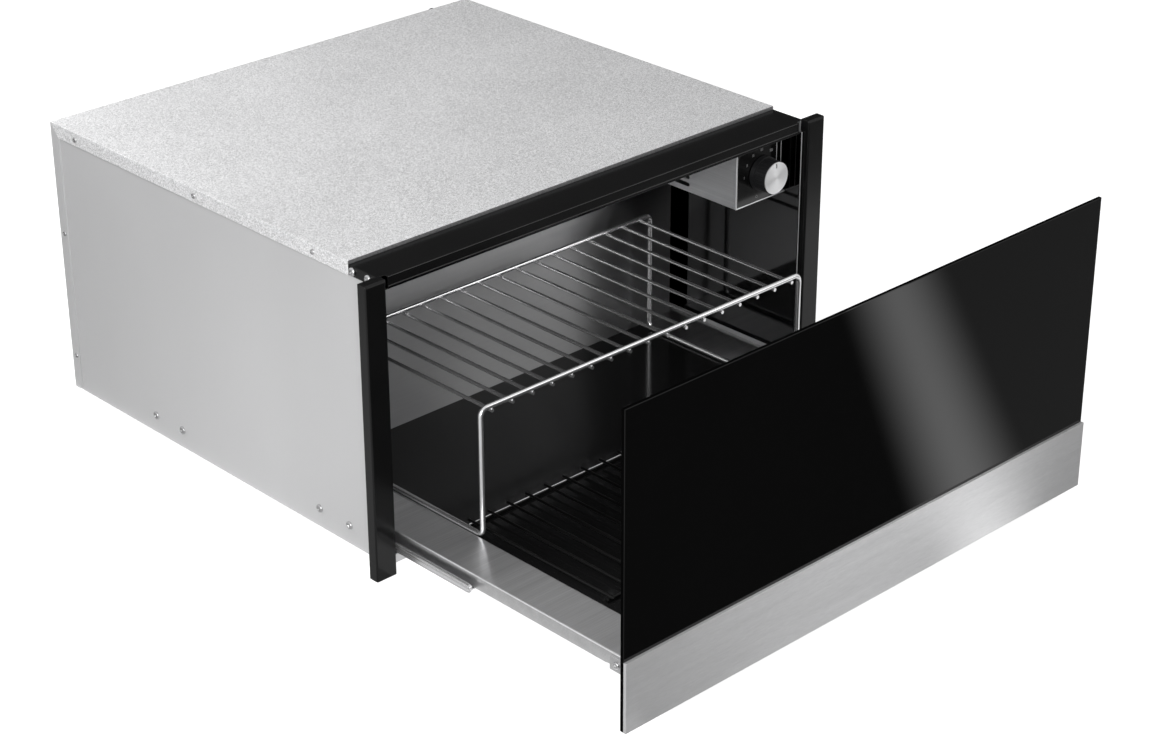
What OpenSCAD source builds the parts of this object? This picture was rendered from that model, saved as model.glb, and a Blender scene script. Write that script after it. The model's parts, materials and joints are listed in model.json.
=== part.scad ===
// Warming drawer: a sheet-metal cabinet with a glass-fronted drawer on telescopic
// slides, a chrome table rack, a low wire rack and a small fan heater behind one knob.
// Millimetres. X is the width, -Y is the door side, Z is up.
// Cabinet pieces are drawn from the frame plane (y = 0, the back of the posts) and the
// underside of the base (z = 0). Drawer pieces are drawn with the drawer closed.
// The origin lies under the middle of the whole part with the drawer at drawer_open.

/* [Cabinet] */
// Width over the cover flanges
body_w = 532; // [500:1:550]
// Depth from the frame plane to the rear panel
body_d = 492; // [480:1:530]
// Height from the base to the top cover
body_h = 285; // [270:1:330]
// Thickness of all cabinet sheets
sheet = 0.8; // [0.7:0.1:1.4]
// Height of the cover's side flange
top_flange = 13; // [10:0.5:15]
// Width of the rear panel's side flange
rear_flange = 12.5; // [10:0.5:16]
// Distance from the frame plane to the cover's front fold
top_setback = 38; // [36:1:50]
// Thickness of the felt between the side panels and the liner
felt_t = 3; // [2:0.5:4]
// Thickness of the insulation behind the liner
back_wool = 10; // [8:1:16]
// Thickness of the insulation under the cavity floor
base_wool = 7; // [5:0.5:8]
// Height of the feet
foot_h = 5; // [4.5:0.5:10]
// Radius of the feet
foot_r = 12; // [8:1:16]
// Distance of the feet from the sides
foot_inset = 36; // [20:1:60]

/* [Front frame] */
// Width of a post
post_w = 22.6; // [16:0.2:26]
// Depth of a post
post_d = 10.4; // [9:0.2:12]
// How far a post reaches below the base
post_drop = 4; // [0:0.5:4.2]
// How far a post stops short of the top cover
post_short = 2.5; // [0:0.5:3]
// Wall of a post
post_wall = 1.6; // [1.2:0.1:2.5]
// Step from the top cover down to the rail
rail_drop = 3.5; // [2:0.5:6]
// Height of the rail's lip and side tabs
rail_lip = 9.5; // [9:0.5:10.5]
// How far the rail's lip stands in front of the frame plane
rail_out = 4; // [3:0.5:9]
// Distance from the rail's top down to the cavity's ceiling
ceiling_drop = 11; // [11:0.5:14]
// How far the lip's ends stop short of the cabinet's sides
rail_end = 9; // [6:0.5:12]

/* [Door] */
// Width of the glass
panel_w = 594; // [580:1:620]
// Height of the glass
panel_h = 291; // [276:1:340]
// Thickness of the glass
glass_t = 4; // [3:0.5:6]
// Height of the stainless strip
strip_h = 66; // [40:1:90]
// Depth of the stainless strip
strip_t = 3; // [2.5:0.5:5]
// Gap between the posts and the closed glass
door_gap = 3.9; // [3:0.1:6]
// Depth of the inner door panel
inner_t = 18; // [12:0.5:20]
// Height of the inner door panel's top
inner_top = 195; // [150:1:200]

/* [Drawer] */
// How far the drawer is open at rest
drawer_open = 312; // [0:1:380]
// Room at each side for a slide
slide_gap = 12; // [12:0.5:15]
// Height of the ledges' top face
ledge_z = 29.5; // [28:0.5:34]
// Width of a ledge
ledge_w = 45.5; // [30:0.5:60]
// Height of the skirt under a ledge's outer edge
skirt_h = 12; // [10:0.5:12.5]
// Outer radius of the bend between a ledge and its skirt
side_bend = 1.5; // [1:0.1:2]
// Depth of the pan between the ledges
pan_depth = 4.2; // [3.6:0.1:5]
// Thickness of the floor plate
plate_t = 3; // [2:0.5:3.5]
// Gap between the closed drawer and the liner's back
rear_clear = 10; // [6:1:20]
// Height of the rear wall's top edge
rear_wall_top = 190; // [120:1:195]
// How far the rear wall stops short of the drawer's sides
rear_wall_in = 5; // [1:1:10]

/* [Slides] */
// Thickness of the slide members
slide_t = 1.2; // [1:0.1:1.4]
// Height of the middle member
slide_h = 8.4; // [8:0.1:9]
// Height of the slides' centre line
slide_z = 18.1; // [18:0.1:18.5]
// Running gap between members
slide_run = 0.3; // [0.2:0.05:0.4]
// Start of the cabinet member, from the frame plane
slide_y0 = 25; // [20:1:40]
// Length of the cabinet member
slide_len = 430; // [380:1:440]
// Start of the middle member with the drawer closed
mid_y0 = 52; // [46:1:60]
// Length of the middle member
mid_len = 380; // [340:1:390]
// Start of the drawer member with the drawer closed
inner_y0 = 48; // [46:1:60]
// Length of the drawer member
inner_len = 392; // [340:1:400]

/* [Racks] */
// Wire radius of the table rack's frame
frame_r = 2.5; // [2:0.1:3]
// Wire radius of the table rack's cross wires
cross_r = 1.75; // [1.2:0.05:2]
// Number of cross wires
cross_n = 17; // [9:1:21]
// Distance from the table rack's end to its first cross wire
cross_in = 12; // [7:0.5:16]
// Height of the table rack between its wires' centres
rack_h = 125; // [90:1:135]
// Depth of the table rack between its wires' centres
rack_d = 201.5; // [150:0.5:230]
// Distance from the rear wall to the table rack's rear wire
rack_back = 14; // [8:0.5:30]
// Bend radius of the table rack's corners
rack_bend = 7; // [5:0.5:12]
// How far the cross wires reach past the centre of the bars they are welded to
wire_out = 2.5; // [2:0.5:8]
// Radius of the base rack's bars
bar_r = 1.8; // [1.5:0.1:2.5]
// Radius of the base rack's wires
grid_r = 1.4; // [1:0.1:1.8]
// How far the base rack's wires reach past the centre of their bars
grid_out = 5; // [2:0.5:8]
// Number of the base rack's wires
grid_n = 18; // [9:1:22]
// Distance from the end of the base rack's bars to its first wire
grid_in = 4; // [3:0.5:16]
// Start of the base rack with the drawer closed
base_rack_y = 100; // [60:1:110]
// Depth of the base rack between its bars
base_rack_d = 176; // [120:1:180]
// Clearance of the racks from the ledges and from each other
rack_clear = 0.5; // [0.3:0.1:2]

/* [Controls] */
// Width of the control box
box_w = 64.6; // [60:0.2:80]
// Height of the control box
box_h = 65.5; // [62:0.5:68]
// Length of the control box
box_l = 175; // [170:1:220]
// Distance from the frame plane to the control box
box_y = 15; // [14:0.5:20]
// Gap between the control box and the liner
box_gap = 5; // [3:0.5:8]
// Length of the slots in the control box
slot_l = 40; // [20:1:44]
// Height of a slot
slot_h = 4; // [3:0.5:5]
// Distance between slots
slot_pitch = 8; // [6:0.5:12]
// Number of slots
slot_n = 3; // [1:1:4]
// Radius of the knob
knob_r = 16.5; // [10:0.5:17]
// Length of the knob
knob_l = 19; // [14:0.5:20]
// Height of the knob's centre over the box's underside
knob_up = 29.5; // [24:0.5:36]
// Distance of the knob's centre from the box's left side
knob_in = 34.4; // [26:0.2:36]
// Radius of the thermostat's shaft
shaft_r = 3; // [2:0.5:4]
// Radius of the fan wheel
fan_r = 24; // [18:1:25]
// Number of fan blades
blade_n = 12; // [8:1:16]
// Number of heater fins
fin_n = 9; // [5:1:11]
// Radius of the cord gland's flange
gland_r = 6.5; // [5:0.5:7]
// How far the cord gland stands out of the rear panel
gland_out = 5; // [3:0.5:10]
// Radius of the cord gland's hole
gland_bore = 3.6; // [2.5:0.1:4]

/* [Latch] */
// Radius of the latch's plunger
plunger_r = 4; // [3:0.5:4.5]
// How far the plunger stands out of its body
plunger_out = 8; // [6:0.5:12]
// Travel of the plunger
plunger_travel = 4; // [3:0.5:5]
// Length of the latch's body
latch_l = 39; // [34:1:44]
// Width of the latch's body
latch_w = 24; // [18:1:40]

/* [Hidden] */
$fn = 48;

fit = 0.2;              // clearance between sheets that are folded past each other
shaft_fit = 0.05;       // running clearance of shafts and plungers
over = 1;               // how far cutters reach past what they cut

// Cabinet planes
half_w = body_w / 2;                     // outer face of the cover's flanges
skin_x = half_w - sheet;                 // outer face of the side panels
side_in = skin_x - sheet;                // inner face of the side panels
liner_out = side_in - felt_t;            // outer face of the liner's walls
liner_in = liner_out - sheet;            // inner face of the liner's walls
roof_z = body_h - sheet;                 // underside of the top cover
flange_z = roof_z - top_flange;          // lower edge of the cover's flanges
rail_z = body_h - rail_drop;             // top of the rail
lip_z = rail_z - rail_lip;               // lower edge of the rail's lip
ceiling_top = rail_z - ceiling_drop;     // top of the cavity's ceiling
ceiling_z = ceiling_top - sheet;         // underside of the cavity's ceiling
rear_in = body_d - sheet;                // inner face of the rear panel
back_in = rear_in - back_wool - sheet;   // front face of the liner's back
floor_top = sheet + base_wool + sheet;   // top of the cavity floor
liner_foot = ledge_z + 1.5;              // lower edge of the liner's walls
felt_y = 14;                             // front end of the felts
wool_gap = 40;                           // free space for wires beside the control box
wool_front = 3;                          // from the cover's front fold to the insulation
wool_back = 2;                           // from the insulation to the rear panel
wool_top = 0.5;                          // from the insulation to the cover
foot_y = foot_inset + 6;                 // distance of the feet from the front and the back

// Drawer planes, with the drawer closed
drawer_x = side_in - slide_gap;          // outer face of the drawer's sides
ledge_x = drawer_x - ledge_w;            // inner edge of the ledges
ledge_under = ledge_z - sheet;           // underside of the ledges
skirt_z = ledge_under - skirt_h;         // lower edge of the skirts
pan_z = ledge_under - pan_depth;         // underside of the pan
plate_top = pan_z + sheet + plate_t;     // top of the floor plate
glass_back = -post_d - door_gap;         // back face of the glass
inner_back = glass_back + inner_t;       // back face of the inner door panel
rear_y = back_in - rear_clear;           // back face of the drawer's rear wall
wall_lip = 8;                            // height of the fold along the rear wall's top
edge_bevel = 0.5;                        // bevel along the glass's edges

// Slide members
run_half = slide_h / 2;                  // half the middle member's height
outer_half = run_half + slide_run + slide_t;
outer_reach = 8;                         // width of the cabinet member
mid_gap = 2.6;                           // between the webs of the outer and middle members
mid_web_x = side_in - slide_t - mid_gap; // outer face of the middle member's web
mid_clear = 5.2;                         // from the drawer's side to its upper flange
mid_hook = 11;                           // how far its lower flange reaches under the drawer
inner_foot = slide_z - run_half + slide_t + slide_run;
inner_web_x = drawer_x - sheet;          // the drawer member lies against the skirt
inner_lip = 8;                           // width of its lower flange
inner_top_lip = 13;                      // width of its upper flange

// Racks
rack_x = ledge_x - rack_clear - frame_r;
rack_z = plate_top + frame_r;
rack_y1 = rear_y - sheet - rack_back;
rack_y0 = rack_y1 - rack_d;
weld = 0.2;                              // how deep welded wires sink into each other
bar_z = plate_top + bar_r;

// Controls
box_x1 = liner_in - box_gap;
box_x0 = box_x1 - box_w;
box_z = ceiling_z - box_h;
box_y1 = box_y + box_l;
knob_x = box_x0 + knob_in;
knob_z = box_z + knob_up;
fascia_y = box_y - sheet;
fascia_in = 9;                           // from the fascia to the box's outer side
knob_gap = 1;                            // from the knob to the fascia
knob_back = fascia_y - knob_gap;
knob_front = knob_back - knob_l;
cap_t = 0.8;
bush_r = shaft_r + 1.8;
bush_fit = 0.1;                          // clearance of the bush in the sheets
bush_clear = 0.3;                        // from the knob to the bush
shaft_in = 15;                           // how far the shaft reaches into the box
knob_wall = 5;                           // from the knob's front to its shaft
skirt_l = 5;                             // length of the knob's wider foot
groove_n = 24;
groove_r = 0.7;
mark_w = 1.8;                            // width of the mark in the cap
mark_l = 4.5;
mark_rim = 2;                            // from the mark to the barrel's edge
slot_in = 62;                            // from the box's front to its slots
slot_up = 7.5;                           // from the box's underside to its lowest slot
slot_y = box_y + slot_in;
slot_z = box_z + slot_up;
fan_in = 135;                            // from the box's front to the fan's axis
fan_up = 34;                             // from the box's underside to the fan's axis
fan_back = 30;                           // from the box's inner side to the fan wheel's back
fan_y = box_y + fan_in;
fan_z = box_z + fan_up;
fan_x = box_x0 + fan_back;
fan_depth = 16;                          // depth of the fan wheel
fan_rim = 8;                             // width of the wheel's inlet ring
blade_w = 7;
blade_turn = 25;                         // how far the blades lean
motor_r = 15;
intake_r = 2.2;                          // holes of the air intake
intake_pitch = 7;
motor_gap = 5;                           // from the wheel to the motor
fan_shaft_r = 1.5;
heater_in = 45;                          // from the box's front to the heater
heater_up = 30;                          // from the box's underside to the heater's middle
heater_y = box_y + heater_in;
heater_z = box_z + heater_up;
loom_r = 3;
loom_in = 100;                           // from the box's front to where the loom drops in
loom_x = box_x0 + fan_back;
loom_y = box_y + loom_in;
loom_z = ceiling_top + loom_r + fit;
loom_drop = 8;                           // how far the loom reaches below the ceiling
cutout_x = box_x0 + 12;
cutout_y = box_y + 60;
gland_lift = 0.3;                        // from the cavity's roof to the gland's flange
gland_wall = 1.5;                        // how far the gland's flange overlaps the panel
gland_in = 6;                            // how far the gland reaches inside
gland_z = ceiling_top + gland_r + gland_lift;
terminal_w = 48;
terminal_d = 20;
terminal_h = 10;
terminal_back = 14;                      // from the rear panel to the terminal block
terminal_y = rear_in - terminal_back;    // back of the terminal block

// Latch
latch_y1 = back_in - fit;
latch_y0 = latch_y1 - latch_l;
latch_h = 14;
plunger_z = floor_top + latch_h / 2;
plunger_tip = latch_y0 - plunger_out;
striker_gap = 0.3;
striker_y = plunger_tip - striker_gap;   // face of the striker that meets the plunger
striker_t = 2;
striker_l = 14;
striker_up = 2;                          // from the cavity floor to the striker
latch_wall = 6;                          // behind the plunger
plunger_rest = 2;                        // room left behind a plunger that is pushed in
plunger_end = latch_y1 - latch_wall - plunger_travel - plunger_rest;

// Screws
screw_r = 1.75;
screw_hole = 1.9;
small_head = 2.7;
large_head = 4;
flange_mid = flange_z + top_flange / 2;
small_head_h = 1.2;
large_head_h = 1.6;
rail_head_h = 2.4;
bracket_head = 3.4;
screw_tail = 3;                          // how far a screw reaches past the sheets it joins
cover_screw_in = 49;                     // from the cover's front fold to its first screw
cover_screw_mid = 14;                    // how far its second screw lies behind the middle
cover_screw_back = 41;                   // from its last screw to the rear panel
cover_screw_y = [top_setback + cover_screw_in, body_d / 2 + cover_screw_mid,
                 body_d - cover_screw_back];
rail_screw_in = 11;                      // from the frame plane to a tab's first screw
rail_screw_back = 6;                     // from a tab's second screw to the cover's fold
rail_screw_y = [rail_screw_in, top_setback - rail_screw_back];
rail_screw_z = lip_z + rail_lip / 2;
rear_screw_low = 37;
rear_screw_high = 170;
rear_screw_z = [rear_screw_low, rear_screw_high];
rear_screw_y = body_d - rear_flange / 2 - 1;
slide_screw_up = 0.9;                    // from the slides' centre line to the screws
slide_screw_z = slide_z + slide_screw_up;
slide_screw_in = 29;                     // from a slide's front end to its first screw
slide_screw_step = 43;                   // between the two screws of a pair
slide_screw_back = 104;                  // from its last screw to the rear end
slide_screw_y = [
    slide_y0 + slide_screw_in, slide_y0 + slide_screw_in + slide_screw_step,
    slide_y0 + slide_len - slide_screw_back - slide_screw_step,
    slide_y0 + slide_len - slide_screw_back
];

// Door brackets
bracket_t = 1.5;
bracket_lap = 38;                        // how far a bracket reaches along the drawer's side
bracket_half = 6.5;                      // half its height
bracket_in = 10;                         // from the inner panel to the first drawer-side screw
bracket_step = 20;
bracket_y = [glass_back + inner_t / 2, inner_back + bracket_in,
             inner_back + bracket_in + bracket_step];
bracket_drop = 8.7;                      // from the ledges' underside to the screws' line
bracket_z = ledge_under - bracket_drop;

// The whole part is centred on its box with the drawer at rest.
front_reach = drawer_open - glass_back + glass_t + strip_t;
back_reach = body_d + gland_out;
frame_y = (front_reach - back_reach) / 2;

zinc = "#b4b6b8";
grey_sheet = "#c9cacb";
steel = "#c4c4c2";
polished = "#8f9294";
black = "#1a1a1b";
gloss_black = "#0c0c0d";
wool = "#d8cfa6";
chrome = "#d9dadb";

module at_cabinet() { translate([0, frame_y, foot_h]) children(); }
module at_drawer() { translate([0, frame_y - drawer_open, foot_h]) children(); }
// The middle members travel half as far as the drawer.
module at_middle() { translate([0, frame_y - drawer_open / 2, foot_h]) children(); }
module on_left() { mirror([1, 0, 0]) children(); }
module both_sides() { for (s = [0, 1]) mirror([s, 0, 0]) children(); }

// A block between two corners
module slab(x, y, z) {
    translate([x[0], y[0], z[0]]) cube([x[1] - x[0], y[1] - y[0], z[1] - z[0]]);
}
// A plate across X from x0, its outline given in Y and Z
module plate_x(x0, t, points) {
    translate([x0, 0, 0]) rotate([90, 0, 90]) linear_extrude(t) polygon(points);
}
module rod_x(r, x0, x1) { translate([x0, 0, 0]) rotate([0, 90, 0]) cylinder(r = r, h = x1 - x0); }
module rod_y(r, y0, y1) { translate([0, y0, 0]) rotate([-90, 0, 0]) cylinder(r = r, h = y1 - y0); }
module rod_z(r, z0, z1) { translate([0, 0, z0]) cylinder(r = r, h = z1 - z0); }
// Round holes along X through a right-hand side sheet
module holes_x(ys, zs, r, x0, x1) {
    for (y = ys, z = zs) translate([0, y, z]) rod_x(r, x0 - over, x1 + over);
}
// Pan-head screws along X, heads outward from x
module screws_x(ys, zs, head_r, head_h, x, depth) {
    for (y = ys, z = zs) translate([0, y, z]) {
        difference() {
            rod_x(head_r, x, x + head_h);
            for (a = [0, 90]) translate([x + head_h, 0, 0]) rotate([a, 0, 0])
                cube([head_h, head_r * 1.1, 0.7], center = true);
        }
        rod_x(screw_r, x - depth, x);
    }
}

// ---- Cabinet ----

module cover_flange() {
    plate_x(skin_x, sheet, [
        [top_setback, flange_z], [body_d - rear_flange, flange_z],
        [body_d, roof_z], [top_setback, roof_z]
    ]);
}

module top_cover() color(zinc) at_cabinet() difference() {
    union() {
        slab([-half_w, half_w], [top_setback, body_d], [roof_z, body_h]);
        slab([-half_w, half_w], [top_setback, top_setback + sheet], [rail_z, roof_z]);
        both_sides() cover_flange();
    }
    both_sides() holes_x(cover_screw_y, [flange_mid], screw_hole, skin_x, half_w);
}

module side_panel() difference() {
    plate_x(side_in, sheet, [
        [0, 0], [rear_in, 0], [rear_in, roof_z], [top_setback + sheet + fit, roof_z],
        [top_setback + sheet + fit, rail_z - sheet], [0, rail_z - sheet]
    ]);
    holes_x(cover_screw_y, [flange_mid], screw_hole, side_in, skin_x);
    holes_x(rail_screw_y, [rail_screw_z], screw_hole, side_in, skin_x);
    holes_x([rear_screw_y], rear_screw_z, screw_hole, side_in, skin_x);
    holes_x(slide_screw_y, [slide_screw_z], screw_hole, side_in, skin_x);
}
module side_panel_right() color(grey_sheet) at_cabinet() side_panel();
module side_panel_left() color(grey_sheet) at_cabinet() on_left() side_panel();

module rear_flange_plate() {
    corner = 5;
    difference() {
        plate_x(skin_x, sheet, [
            [body_d - rear_flange, corner], [body_d - rear_flange + corner, 0], [body_d, 0],
            [body_d, roof_z - fit], [body_d - rear_flange, flange_z - fit]
        ]);
        holes_x([rear_screw_y], rear_screw_z, screw_hole, skin_x, half_w);
    }
}

module rear_panel() color(grey_sheet) at_cabinet() difference() {
    union() {
        slab([-skin_x, skin_x], [rear_in, body_d], [0, roof_z - fit]);
        both_sides() rear_flange_plate();
    }
    translate([loom_x, 0, gland_z]) rod_y(gland_r - gland_wall, rear_in - over, body_d + over);
}

module base_pan() color(zinc) at_cabinet() {
    slab([-side_in, side_in], [0, rear_in], [0, sheet]);
    slab([-side_in, side_in], [0, sheet], [sheet, floor_top]);
}

module post_outline() {
    edge = 1.5;
    translate([side_in, -post_d]) union() {
        translate([edge, edge]) circle(r = edge);
        translate([post_w - edge, edge]) circle(r = edge);
        translate([edge, 0]) square([post_w - 2 * edge, post_d]);
        translate([0, edge]) square([post_w, post_d - edge]);
    }
}

module post() {
    top = body_h - post_short;
    cap = post_wall;
    tab_l = 12;
    tab_t = 1.5;
    tab_z = [40, rail_z - 30];
    bevel = 2.4;
    difference() {
        translate([0, 0, -post_drop]) linear_extrude(top + post_drop) post_outline();
        slab([side_in + post_wall, side_in + post_w - post_wall],
             [-post_d + post_wall, over], [cap - post_drop, top - cap]);
        // bevelled front edge of the top cap
        translate([side_in - over, -post_d, top]) rotate([45, 0, 0])
            translate([0, -bevel / 2, -bevel / 2]) cube([post_w + 2 * over, bevel, bevel]);
    }
    // tab behind the post that lies against the side panel's inner face
    slab([side_in - tab_t, side_in], [-2, tab_l], tab_z);
    slab([side_in - tab_t, side_in + post_wall], [-2, 0], tab_z);
}
module post_right() color(black) at_cabinet() post();
module post_left() color(black) at_cabinet() on_left() post();

module top_rail() color(black) at_cabinet() difference() {
    lip_x = half_w - rail_end;
    union() {
        slab([-half_w, half_w], [0, top_setback], [rail_z - sheet, rail_z]);
        slab([-lip_x, lip_x], [-rail_out, 0], [rail_z - sheet, rail_z]);
        slab([-lip_x, lip_x], [-rail_out, sheet - rail_out], [lip_z, rail_z]);
        slab([-lip_x, lip_x], [-rail_out, 0], [lip_z, lip_z + sheet]);
        both_sides() slab([skin_x, half_w], [0, top_setback - fit], [lip_z, rail_z]);
    }
    both_sides() holes_x(rail_screw_y, [rail_screw_z], screw_hole, skin_x, half_w);
}

module liner_wall() {
    slab([liner_in, liner_out], [-rail_out, back_in], [liner_foot, ceiling_z]);
    slab([liner_out, side_in], [felt_y, back_in], [liner_foot, liner_foot + sheet]);
}
module liner_right() color(polished) at_cabinet() liner_wall();
module liner_left() color(polished) at_cabinet() on_left() liner_wall();

module liner_back() color(polished) at_cabinet()
    slab([-liner_out, liner_out], [back_in, back_in + sheet], [floor_top, ceiling_z]);

// The ceiling's front edge is folded up against the rail's lip.
module liner_ceiling() color(polished) at_cabinet() difference() {
    fold_x = half_w - rail_end;
    union() {
        slab([-liner_out, liner_out], [-rail_out, back_in + sheet], [ceiling_z, ceiling_top]);
        slab([-fold_x, fold_x], [-rail_out, sheet - rail_out], [ceiling_z, lip_z]);
    }
    translate([loom_x, loom_y, 0]) rod_z(loom_r + 1, ceiling_z - over, ceiling_top + over);
}

module cavity_floor() color(polished) at_cabinet()
    slab([-side_in, side_in], [sheet, rear_in], [floor_top - sheet, floor_top]);

module felt() slab([liner_out, side_in], [felt_y, back_in], [liner_foot + sheet, ceiling_z]);
module felt_right() color(wool) at_cabinet() felt();
module felt_left() color(wool) at_cabinet() on_left() felt();

module insulation_top() color(wool) at_cabinet()
    slab([-liner_in, box_x0 - wool_gap], [top_setback + wool_front, rear_in - wool_back],
         [ceiling_top, roof_z - wool_top]);
module insulation_back() color(wool) at_cabinet()
    slab([-liner_out, liner_out], [back_in + sheet, rear_in], [floor_top, ceiling_z]);
module insulation_base() color(wool) at_cabinet()
    slab([-side_in, side_in], [sheet, rear_in], [sheet, floor_top - sheet]);

module feet() color(black) at_cabinet()
    for (x = [-1, 1], y = [foot_y, body_d - foot_y])
        translate([x * (half_w - foot_inset), y, 0]) rod_z(foot_r, -foot_h, 0);

module cover_screws() color(chrome) at_cabinet() both_sides()
    screws_x(cover_screw_y, [flange_mid], small_head, small_head_h, half_w, sheet + screw_tail);
module rail_screws() color(chrome) at_cabinet() both_sides()
    screws_x(rail_screw_y, [rail_screw_z], large_head, rail_head_h, half_w, sheet + screw_tail);
module rear_screws() color(chrome) at_cabinet() both_sides()
    screws_x([rear_screw_y], rear_screw_z, small_head, small_head_h, half_w, 2 * sheet + 0.5);
module slide_screws() color(chrome) at_cabinet() both_sides()
    screws_x(slide_screw_y, [slide_screw_z], large_head, large_head_h, skin_x, sheet + slide_t);

// ---- Controls ----

module slot_cut(z) {
    r = slot_h / 2;
    for (y = [slot_y + r, slot_y + slot_l - r])
        translate([0, y, z]) rod_x(r, box_x0 - over, box_x0 + sheet + over);
    slab([box_x0 - over, box_x0 + sheet + over], [slot_y + r, slot_y + slot_l - r],
         [z - r, z + r]);
}

module control_box() color(steel) at_cabinet() difference() {
    slab([box_x0, box_x1], [box_y, box_y1], [box_z, ceiling_z]);
    slab([box_x0 + sheet, box_x1 - sheet], [box_y + sheet, box_y1 - sheet],
         [box_z + sheet, ceiling_z + over]);
    for (i = [0 : slot_n - 1]) slot_cut(slot_z + i * slot_pitch);
    translate([knob_x, 0, knob_z]) rod_y(bush_r + bush_fit, box_y - over, box_y + sheet + over);
    // air intake under the fan
    for (i = [-2 : 2], j = [-1 : 1])
        translate([box_x0 + (2.3 + j) * intake_pitch, fan_y + i * intake_pitch, 0])
            rod_z(intake_r, box_z - over, box_z + sheet + over);
}

module control_fascia() color(gloss_black) at_cabinet() difference() {
    slab([box_x0 + sheet, box_x1 - fascia_in], [fascia_y, box_y], [box_z + sheet, ceiling_z - fit]);
    translate([knob_x, 0, knob_z]) rod_y(bush_r + bush_fit, fascia_y - over, box_y + over);
}

module thermostat() color("#e8e4d8") at_cabinet() translate([knob_x, 0, knob_z]) difference() {
    half = 15;
    depth = 26;
    union() {
        slab([-half, half], [box_y + sheet, box_y + sheet + depth], [-half, half]);
        rod_y(bush_r, knob_back + bush_clear, box_y + sheet);
    }
    rod_y(shaft_r + shaft_fit, knob_back - over, box_y + shaft_in + 1);
}

module heater() color("#a8a9aa") at_cabinet() translate([0, heater_y, heater_z]) {
    pitch = 5.5;
    end = 4;
    length = fin_n * pitch + 2 * end;
    tube_r = 3;
    tube_z = 12;
    peg_r = 2.2;
    fin_w = 32;
    fin_h = 18;
    fin_gap = 8;
    fin_x = box_x1 - sheet - fin_gap - fin_w;
    ear_low = 2;
    ear_high = 6;
    tube_x = fin_x + fin_w / 2;
    plate_t = 1.5;
    // mounting plate against the box's right side
    slab([box_x1 - sheet - plate_t, box_x1 - sheet], [-end, length + end],
         [-fin_h - ear_low, fin_h + ear_high]);
    for (z = [-tube_z, tube_z]) {
        for (y = [end / 2, length - end / 2])
            translate([0, y, z]) rod_x(peg_r, tube_x, box_x1 - sheet - plate_t / 2);
        translate([tube_x, 0, z]) rod_y(tube_r, 0, length);
    }
    for (i = [0 : fin_n - 1])
        translate([0, end + 2 + i * pitch, 0])
            slab([fin_x, fin_x + fin_w], [0, sheet], [-fin_h, fin_h]);
}

module fan_motor() color("#4a4a4c") at_cabinet() translate([0, fan_y, fan_z]) difference() {
    foot_t = 2;
    foot_ear = 7;
    hub_r = 4;
    hub_gap = 0.6;
    bearing_l = fan_depth + 2;
    union() {
        rod_x(motor_r, fan_x + motor_gap, box_x1 - sheet - foot_t);
        slab([box_x1 - sheet - foot_t, box_x1 - sheet], [-motor_r - foot_ear, motor_r + foot_ear],
             [1 - motor_r, motor_r - 1]);
        rod_x(hub_r, fan_x + hub_gap, fan_x + motor_gap);
    }
    rod_x(fan_shaft_r + shaft_fit, fan_x - over, fan_x + bearing_l);
}

module fan_wheel() color("#b8babc") at_cabinet() translate([0, fan_y, fan_z]) {
    plate = 1.5;
    hub_r = 5;
    difference() {
        rod_x(fan_r, fan_x - plate, fan_x);
        rod_x(fan_shaft_r, fan_x - plate - over, fan_x + over);
    }
    rod_x(fan_shaft_r, fan_x - fan_depth, fan_x + fan_depth);
    rod_x(hub_r, fan_x - fan_depth / 2, fan_x - plate);
    for (i = [0 : blade_n - 1]) rotate([i * 360 / blade_n, 0, 0])
        translate([fan_x - fan_depth, fan_r - fan_rim, 0]) rotate([blade_turn, 0, 0])
            cube([fan_depth - plate + weld, blade_w, 1]);
    difference() {
        rod_x(fan_r, fan_x - fan_depth - 1, fan_x - fan_depth + weld);
        rod_x(fan_r - fan_rim, fan_x - fan_depth - 1 - over, fan_x - fan_depth + over);
    }
}

module thermal_cutout() color("#d8d8d4") at_cabinet() translate([cutout_x, cutout_y, ceiling_top]) {
    base_r = 8;
    base_h = 5;
    cap_r = 5;
    cap_h = 3;
    rod_z(base_r, 0, base_h);
    rod_z(cap_r, base_h, base_h + cap_h);
}

module terminal_block() color("#e9e9e4") at_cabinet() difference() {
    pole_r = 2.4;
    pole_depth = 6;
    pole_pitch = 9;
    slab([loom_x - terminal_w / 2, loom_x + terminal_w / 2],
         [terminal_y - terminal_d, terminal_y], [ceiling_top, ceiling_top + terminal_h]);
    for (i = [-2 : 2]) translate([loom_x + i * pole_pitch, terminal_y - terminal_d / 2, 0])
        rod_z(pole_r, ceiling_top + terminal_h - pole_depth, ceiling_top + terminal_h + over);
}

module wiring_loom() color("#2b2b2d") at_cabinet() translate([loom_x, 0, 0]) {
    translate([0, 0, loom_z]) rod_y(loom_r, loom_y, terminal_y - terminal_d);
    translate([0, loom_y, 0]) rod_z(loom_r, ceiling_z - loom_drop, loom_z);
    translate([0, loom_y, loom_z]) sphere(r = loom_r);
}

module cord_gland() color(black) at_cabinet() translate([loom_x, 0, gland_z]) difference() {
    union() {
        rod_y(gland_r, body_d, body_d + gland_out);
        rod_y(gland_r - gland_wall - bush_fit, rear_in - gland_in, body_d);
    }
    rod_y(gland_bore, rear_in - gland_in - over, body_d + gland_out + over);
}

module thermostat_shaft() color(steel) at_cabinet() translate([knob_x, 0, knob_z])
    rod_y(shaft_r, knob_front + knob_wall, box_y + shaft_in);

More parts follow.
